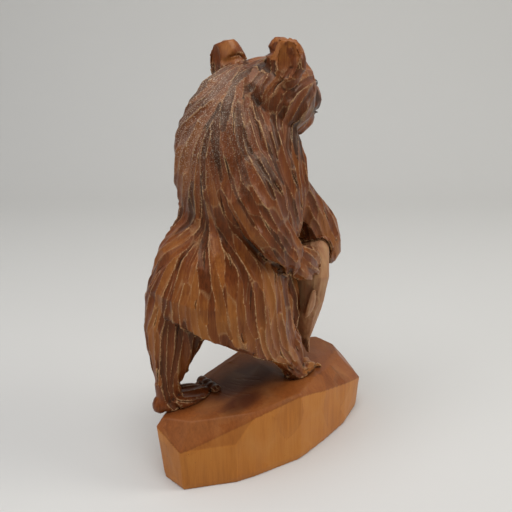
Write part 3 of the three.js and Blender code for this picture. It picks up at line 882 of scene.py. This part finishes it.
class FIGURINE_OT_bear(bpy.types.Operator):
    """Cuts the bear's fur, face, ears and paws into its wooden blank"""

    bl_idname = "figurine.bear"
    bl_label = "Bear"

    def execute(self, context):
        fur = context.scene.figurine_fur
        wide, deep, long = (value * 1000 for value in (fur.cut_width, fur.cut_depth, fur.cut_length))

        def softness(points):
            head = np.maximum(face_share(points), ear_share(points))
            return 1 - np.maximum(0.7 * head, 0.9 * paw_share(points))

        grit = either(0.55)
        bear = blank_from("bear", "carved_bear", grit, either(22), softness)
        tool = Tool(bear, lie_of_fur, fur.seed)

        def regions(points):
            face, ear, paw = face_share(points), ear_share(points), paw_share(points)
            low = 1 - smoothstep(points[:, 2], 140, 175)
            return face, ear, paw, low

        def spacing(points, normals):
            face, ear, paw, low = regions(points)
            across = wide * (0.7 + 0.04 * low)
            along = long * (0.45 + 0.1 * low)
            for share, apart, ahead in ((face, 1.0, 11.0), (paw, 0.8, 9.0), (ear, 1.1, 10.0)):
                across = np.where(share > 0.5, wide * apart, across)
                along = np.where(share > 0.5, ahead, along)
            return across, along

        def kinds(points, normals, dice):
            face, ear, paw, low = regions(points)
            half, depth, length, first, last = drawn(
                dice, points, (0.75, 1.5), (0.7, 1.3), (0.6, 1.5), (0.0, 0.6), (0.1, 1.0)
            )
            made = [wide / 2 * half, deep * depth, long * length * (1 + 0.4 * low)]
            for share, ranges in (
                (face, ((4.5, 7), (0.5, 0.9), (14, 24))),
                (paw, ((3, 4.5), (0.12, 0.3), (9, 15))),
                (ear, ((5, 7), (0.1, 0.25), (10, 18))),
            ):
                own = drawn(dice, points, *ranges)
                made = [np.where(share > 0.5, new, old) for new, old in zip(own, made)]
            return *made, first, last

        def slit_spacing(points, normals):
            bare = np.maximum(np.maximum(face_share(points), ear_share(points)), paw_share(points)) > 0.3
            return np.where(bare, 0, 15.0), np.full(len(points), 34.0)

        def slit_kinds(points, normals, dice):
            return drawn(dice, points, (0.5, 0.9), (0.7, 1.2), (10, 26), (0, 0.3), (0, 0.3))

        cuts = tool.carve(16000, spacing, kinds)
        slits = tool.carve(9000, slit_spacing, slit_kinds, steps=6, wander=0.15, vee=True)
        print(f"bear: {cuts} cuts and {slits} slits")
        dents = self.dents(tool.points)
        points = tool.points - tool.normals * (tool.deepest + tool.crevice + dents)[:, None]
        put_points(bear.data, softened(bear.data, points, 1, np.full(len(points), 0.15)))
        keep_attribute(bear.data, "tone", tool.tone)
        # The ridge attribute is worn wood with a painted highlight, the groove attribute is pooled stain with
        # painted shade in creases, slits and dents, and light adds stain differences with painted light and
        # shade.
        crest, crease = crests_and_creases(bear.data, grit)
        plain = 1 - 0.6 * ear_share(tool.points)
        keep_attribute(bear.data, "ridge", np.maximum(crest, 0.6 * tool.ridges(0.35)) * plain)
        narrow = np.clip((tool.crevice + dents) / 0.9, 0, 1)
        keep_attribute(bear.data, "groove", np.maximum(crease, narrow) * plain)
        keep_attribute(bear.data, "dusty", self.dust_on(tool.points))
        keep_attribute(bear.data, "light", self.stain_and_painted_light(tool.points))
        thin_out(bear, either(196000))
        drop_crumbs(bear)
        finish_piece(bear, "bear", stained_gouge_cut_basswood(fur))
        return {"FINISHED"}

    @staticmethod
    def dents(points):
        """How deep the nostrils, the eyelids and the mouth are cut, in millimetres."""
        head = on_head(points)
        deep = np.zeros(len(points))
        for hand in (-1, 1):
            nostril = np.linalg.norm(head - np.array([hand * 3.4, -58.5, -4.5]), axis=1)
            deep += 1.6 * np.exp(-((nostril / 1.7) ** 2))
            eye = np.linalg.norm(head - np.array([hand * 14.5, -33, 5]), axis=1)
            deep += 0.8 * np.exp(-(((eye - 5.0) / 0.9) ** 2))
        x, y, z = head.T
        lips = np.exp(-(((z + 14.5) / 0.8) ** 2)) * (1 - smoothstep(y, -36, -31)) * (np.abs(x) < 16)
        return deep + 0.45 * lips

    @staticmethod
    def dust_on(points):
        """How much dust may lie here: most on the head, the nape and the left of the back."""
        high = smoothstep(points[:, 2], 150, 245)
        rear = smoothstep(points[:, 1], 5, 50)
        left = smoothstep(points[:, 0], -25, 15)
        ear = ear_share(points)
        return np.clip((0.1 * high + 0.42 * high * rear * (0.35 + 0.65 * left)) * (1 - 0.7 * ear), 0, 1)

    @staticmethod
    def stain_and_painted_light(points):
        """How much lighter or darker the bear's colour is here.

        It is lighter low on the right flank and darker on the left toes and high on the bear, and the stain
        is thick on the nose. The right toes get painted light, and the hollow under the hem gets painted
        shade.
        """
        low = 1 - smoothstep(points[:, 2], 120, 165)
        flank = 1 - smoothstep(points[:, 0], -32, -10)
        high = smoothstep(points[:, 2], 130, 200) * (1 - ear_share(points))
        # The right toes get painted light, and the hollow under the hem gets painted shade.
        painted_light_on_right_toes = 1 - smoothstep(np.linalg.norm(points - np.array([-22, -26, 52]), axis=1), 10, 15)
        hollow = 1 - smoothstep(np.linalg.norm(points - np.array([-20, 0, 58]), axis=1), 13, 20)
        left_toes = (1 - smoothstep(points[:, 2], 54, 62)) * smoothstep(points[:, 1], 20, 30)
        left_toes = left_toes * (1 - smoothstep(points[:, 1], 55, 78))
        nose = 1 - smoothstep(np.linalg.norm(on_head(points) - np.array([0, -58, -3]), axis=1), 6, 8)
        light = 0.2 * low * flank + 0.05 * ear_share(points) + 0.4 * painted_light_on_right_toes + 0.04 * face_share(points)
        return light - 0.35 * left_toes - 0.45 * hollow * (1 - painted_light_on_right_toes) - 0.16 * high - 0.6 * nose


class FIGURINE_OT_plinth(bpy.types.Operator):
    """Slices the plinth's facets and scratches the tool marks into its deck"""

    bl_idname = "figurine.plinth"
    bl_label = "Plinth"

    def execute(self, context):
        look = context.scene.figurine_plinth
        wide, deep = look.facet_width * 1000, look.facet_depth * 1000
        plinth = blank_from("plinth", "knife_cut_plinth", either(0.8), 2)

        def way(points, normals):
            upright = np.abs(normals[:, 2]) < 0.45
            lie = np.where(upright[:, None], np.array([0, 0, 1.0]), np.array([0.3, -0.95, 0]))
            return unit(lie - normals * (lie * normals).sum(1, keepdims=True))

        tool = Tool(plinth, way, 5)
        under = tool.points[:, 2] < 0.6

        def spacing(points, normals):
            across = np.where(points[:, 2] < 1.5, 0, wide * 0.6)
            return across, np.full(len(points), 28.0)

        def kinds(points, normals, dice):
            half, depth, *others = drawn(
                dice, points, (0.8, 1.25), (0.6, 1.2), (30, 60), (0, 0.5), (0.2, 0.8)
            )
            return wide / 2 * half, deep * depth, *others

        tool.carve(2500, spacing, kinds)
        marks = self.tool_marks(tool)
        points = tool.points - tool.normals * (tool.deepest + marks * 0.25)[:, None]
        points[under] = tool.points[under]
        points[:, 2] = np.maximum(points[:, 2], 0)
        put_points(plinth.data, points)
        keep_attribute(plinth.data, "tone", tool.tone)
        keep_attribute(plinth.data, "ridge", tool.ridges(0.25))
        keep_attribute(plinth.data, "scratch", marks)
        # Painted shade: the up-facing faces take the darker deck colours, and the deck round the feet is
        # darkened further.
        keep_attribute(plinth.data, "upper", smoothstep(tool.normals[:, 2], 0.1, 0.2))
        keep_attribute(plinth.data, "painted_deck_shade", self.painted_deck_shade(tool.points))
        thin_out(plinth, either(110000))
        finish_piece(plinth, "plinth", lacquered_knife_cut_basswood(look))
        return {"FINISHED"}

    @staticmethod
    def tool_marks(tool):
        """A fan of curved scratches on the deck between the feet: 1 in a scratch and 0 beside it."""
        marks = np.zeros(len(tool.points))
        deck = tool.normals[:, 2] > 0.6
        for mark in range(8):
            spot = np.array([tool.dice.uniform(0, 8), 42.0 - 3.6 * mark])
            turn = math.radians(176 + 4 * mark + tool.dice.uniform(-4, 4))
            faint = tool.dice.uniform(0.35, 1)
            for step in range(tool.dice.integers(12, 32)):
                spot = spot + np.array([math.cos(turn), math.sin(turn)]) * 0.8
                turn += 0.022
                gap = np.hypot(tool.points[:, 0] - spot[0], tool.points[:, 1] - spot[1])
                marks = np.maximum(marks, np.where(deck, np.clip(1 - gap / 0.7, 0, 1) * faint, 0))
        return marks

    @staticmethod
    def painted_deck_shade(points):
        """How much painted shade lies on the deck: round the feet and between them, under the bear."""
        deck_shade = np.zeros(len(points))
        for x, y, long, wide in ((13, 62, 34, 16), (-2, 18, 36, 20), (-22, -10, 14, 12), (-20, 40, 20, 10)):
            gap = np.hypot((points[:, 0] - x) / wide, (points[:, 1] - y) / long)
            deck_shade = np.maximum(deck_shade, 1 - smoothstep(gap, 0.45, 1.1))
        return deck_shade * smoothstep(points[:, 2], 40, 47)


class FIGURINE_OT_salmon(bpy.types.Operator):
    """Cuts the salmon's facets, gill, mouth, eye and fin rays"""

    bl_idname = "figurine.salmon"
    bl_label = "Salmon"

    # The line of its back, from the tail up to the nose, and how far a stretch of it turns the cuts, both in
    # millimetres.
    SPINE = np.array(
        [
            (-10, -34, 58),
            (-11, -34, 70),
            (-15, -29, 98),
            (-18, -27, 122),
            (-11, -37, 143),
            (5, -53, 158),
            (22, -57, 172),
        ],
        float,
    )
    REACH = 12.0

    def execute(self, context):
        look = context.scene.figurine_salmon
        wide = look.facet_width * 1000
        salmon = blank_from("salmon", "carved_salmon", either(0.5), 4)
        lie = unit(self.SPINE[1:] - self.SPINE[:-1])
        middle = (self.SPINE[1:] + self.SPINE[:-1]) / 2

        def way(points, normals):
            gap = ((points[:, None, :] - middle[None]) ** 2).sum(2)
            weight = np.exp(-gap / (2 * self.REACH**2)) + 1e-9
            ways = weight @ lie
            return unit(ways - normals * (ways * normals).sum(1, keepdims=True))

        tool = Tool(salmon, way, 3)

        def spacing(points, normals):
            return np.full(len(points), wide * 0.6), np.full(len(points), 14.0)

        def kinds(points, normals, dice):
            half, *others = drawn(dice, points, (0.9, 1.4), (0.25, 0.5), (22, 40), (0, 0.4), (0, 0.5))
            return wide / 2 * half, *others

        tool.carve(5000, spacing, kinds)
        grooves = self.grooves(tool.points)
        points = tool.points - tool.normals * (tool.deepest + grooves)[:, None]
        put_points(salmon.data, points)
        keep_attribute(salmon.data, "tone", tool.tone)
        keep_attribute(salmon.data, "ridge", tool.ridges(0.3))
        keep_attribute(salmon.data, "groove", np.clip(grooves / 0.7, 0, 1))
        thin_out(salmon, either(90000))
        finish_piece(salmon, "salmon", stained_knife_cut_basswood(look))
        return {"FINISHED"}

    def grooves(self, points):
        """How deep the gill, the mouth, the eye and the rays of the tail are cut, in millimetres."""
        nose = self.SPINE[-1]
        ahead = unit(nose - self.SPINE[-2])
        belly = unit(np.cross(ahead, (0, -1, 0)))
        back, low = (nose - points) @ ahead, (points - nose) @ belly
        front = smoothstep(nose[1] - points[:, 1], 0.5, 2.5)
        deep = 0.8 * np.exp(-(((back - 15 + 0.06 * low**2) / 0.7) ** 2)) * front * (np.abs(low) < 8)
        deep += 0.8 * np.exp(-(((low - 1.2) / 0.6) ** 2)) * smoothstep(-back, -8.5, -6.5) * (back > -2)
        eye = np.hypot(back - 8.5, low + 2.2)
        deep += 1.1 * np.exp(-((eye / 1.0) ** 2)) * front
        rays = np.cos((points[:, 0] * 0.8 - points[:, 1] * 0.6) * 2.6) ** 8
        return deep + 0.5 * rays * (1 - smoothstep(points[:, 2], 66, 74))


class FIGURINE_OT_eyes(bpy.types.Operator):
    """Rounds the glass beads of the eyes and gives them their finish"""

    bl_idname = "figurine.eyes"
    bl_label = "Eyes"

    def execute(self, context):
        glass = pressed_brown_glass()
        for side in ("left", "right"):
            low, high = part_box(f"{side}_eye")
            middle, radius = (low + high) / 2, (high.x - low.x) / 2
            bead = bmesh.new()
            bmesh.ops.create_uvsphere(bead, u_segments=40, v_segments=28, radius=radius * 0.98)
            bmesh.ops.translate(bead, verts=bead.verts, vec=middle)
            mesh = bpy.data.meshes.new(f"{side}_glass_eye")
            bead.to_mesh(mesh)
            bead.free()
            eye = bpy.data.objects.new(f"{side}_glass_eye", mesh)
            context.scene.collection.objects.link(eye)
            finish_piece(eye, f"{side}_eye", glass)
        return {"FINISHED"}


class FIGURINE_OT_fixings(bpy.types.Operator):
    """Gives the dowels, the peg and the wires of the eyes their finish"""

    bl_idname = "figurine.fixings"
    bl_label = "Dowels, peg and wires"

    def execute(self, context):
        for finish, names in (
            (turned_beech(), ("left_foot_dowel", "right_foot_dowel", "salmon_peg")),
            (drawn_steel(), ("left_eye_wire", "right_eye_wire")),
        ):
            for name in names:
                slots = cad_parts[name].material_slots
                if not slots:
                    raise RuntimeError(f"{name} has no material slot")
                for slot in slots:
                    slot.material = finish
        return {"FINISHED"}


class FIGURINE_OT_stage(bpy.types.Operator):
    """Makes the paper sweep, the soft lights and the camera"""

    bl_idname = "figurine.stage"
    bl_label = "Stage"

    def execute(self, context):
        look = context.scene.figurine_stage
        self.paper(context, look)
        self.lights(context)
        self.camera(context, look)
        context.scene.view_settings.view_transform = "Standard"
        return {"FINISHED"}

    def paper(self, context, look):
        """A sheet of paper that lies under the figurine and curves up behind it, away from the camera."""
        flat, radius, height, half = 0.62, 0.35, 3.0, 3.0
        sheet = bmesh.new()
        profile = [(-half, -3.0, 0)]
        for step in range(17):
            turn = math.radians(90 * step / 16)
            profile.append((-half, flat + radius * math.sin(turn), radius * (1 - math.cos(turn))))
        profile.append((-half, flat + radius, height))
        line = [sheet.verts.new(spot) for spot in profile]
        edges = [sheet.edges.new(pair) for pair in zip(line, line[1:])]
        made = bmesh.ops.extrude_edge_only(sheet, edges=edges)
        moved = [part for part in made["geom"] if isinstance(part, bmesh.types.BMVert)]
        bmesh.ops.translate(sheet, verts=moved, vec=(2 * half, 0, 0))
        turned = Matrix.Rotation(look.azimuth, 3, "Z")
        bmesh.ops.rotate(sheet, verts=sheet.verts, cent=(0, 0, 0), matrix=turned)
        bmesh.ops.recalc_face_normals(sheet, faces=sheet.faces)
        mesh = bpy.data.meshes.new("paper_sweep")
        sheet.to_mesh(mesh)
        sheet.free()
        mesh.polygons.foreach_set("use_smooth", [True] * len(mesh.polygons))
        mesh.materials.append(matt_backdrop_paper(look))
        floor = bpy.data.objects.new("paper_sweep", mesh)
        context.scene.collection.objects.link(floor)

    def lights(self, context):
        """A broad soft light overhead, a fill from each side and a weak one for the bear's front."""
        middle = Vector((0, 0, 0.12))
        for name, place, size, power, colour in (
            ("overhead", (-0.1, 0.25, 1.15), 0.9, 9.8, "#fdfcff"),
            ("right_fill", (-0.85, -0.75, 0.75), 0.6, 6.2, "#fffdfa"),
            ("left_fill", (0.35, 1.2, 0.75), 0.8, 3.0, "#f6f8ff"),
            ("rear_fill", (0.9, -0.9, 1.3), 1.2, 2.0, "#ffffff"),
        ):
            lamp = bpy.data.lights.new(name, "AREA")
            lamp.shape = "DISK"
            lamp.size = size
            lamp.energy = power
            lamp.color = tint(colour)
            light = bpy.data.objects.new(name, lamp)
            light.location = place
            light.rotation_mode = "QUATERNION"
            light.rotation_quaternion = (middle - Vector(place)).to_track_quat("-Z", "Y")
            context.scene.collection.objects.link(light)
        world = bpy.data.worlds.new("room")
        context.scene.world = world
        world.use_nodes = True
        air = world.node_tree.nodes["Background"].inputs
        air["Color"].default_value, air["Strength"].default_value = linear("#f1f3f7"), 0.23

    def camera(self, context, look):
        """The camera, which looks at the bear's back from behind its right side."""
        target = Vector((-0.0019, 0.008, 0.14))
        flat, up = math.cos(look.elevation), math.sin(look.elevation)
        back = Vector((math.sin(look.azimuth) * flat, -math.cos(look.azimuth) * flat, up))
        lens = bpy.data.cameras.new("camera")
        lens.sensor_width = 36
        lens.lens = lens.sensor_width / 2 / math.tan(look.field / 2)
        lens.clip_start, lens.clip_end = 0.01, 20
        camera = bpy.data.objects.new("camera", lens)
        camera.location = target + back * look.distance
        camera.rotation_mode = "QUATERNION"
        camera.rotation_quaternion = (-back).to_track_quat("-Z", "Y")
        context.scene.collection.objects.link(camera)
        context.scene.camera = camera


# ---- add-on ---------------------------------------------------------------------------------------

SETTINGS = {
    "figurine_fur": FurSettings,
    "figurine_plinth": PlinthSettings,
    "figurine_salmon": SalmonSettings,
    "figurine_stage": StageSettings,
}
OPERATORS = (
    FIGURINE_OT_stage,
    FIGURINE_OT_plinth,
    FIGURINE_OT_salmon,
    FIGURINE_OT_bear,
    FIGURINE_OT_eyes,
    FIGURINE_OT_fixings,
)


class FIGURINE_PT_sidebar(bpy.types.Panel):
    """The figurine's settings and the buttons that make its pieces"""

    bl_label = "Carved bear figurine"
    bl_idname = "FIGURINE_PT_sidebar"
    bl_space_type = "VIEW_3D"
    bl_region_type = "UI"
    bl_category = "Figurine"

    def draw(self, context):
        for name, group in SETTINGS.items():
            box = self.layout.box()
            for setting in group.__annotations__:
                box.prop(getattr(context.scene, name), setting)
        for operator in OPERATORS:
            self.layout.operator(operator.bl_idname)


def register():
    for made in (*SETTINGS.values(), *OPERATORS, FIGURINE_PT_sidebar):
        bpy.utils.register_class(made)
    for name, group in SETTINGS.items():
        setattr(bpy.types.Scene, name, bpy.props.PointerProperty(type=group))


def unregister():
    for name in SETTINGS:
        delattr(bpy.types.Scene, name)
    for made in reversed((*SETTINGS.values(), *OPERATORS, FIGURINE_PT_sidebar)):
        bpy.utils.unregister_class(made)


def main():
    register()
    bpy.ops.figurine.stage()
    bpy.ops.figurine.plinth()
    bpy.ops.figurine.salmon()
    bpy.ops.figurine.bear()
    bpy.ops.figurine.eyes()
    bpy.ops.figurine.fixings()


if __name__ == "__main__":
    main()
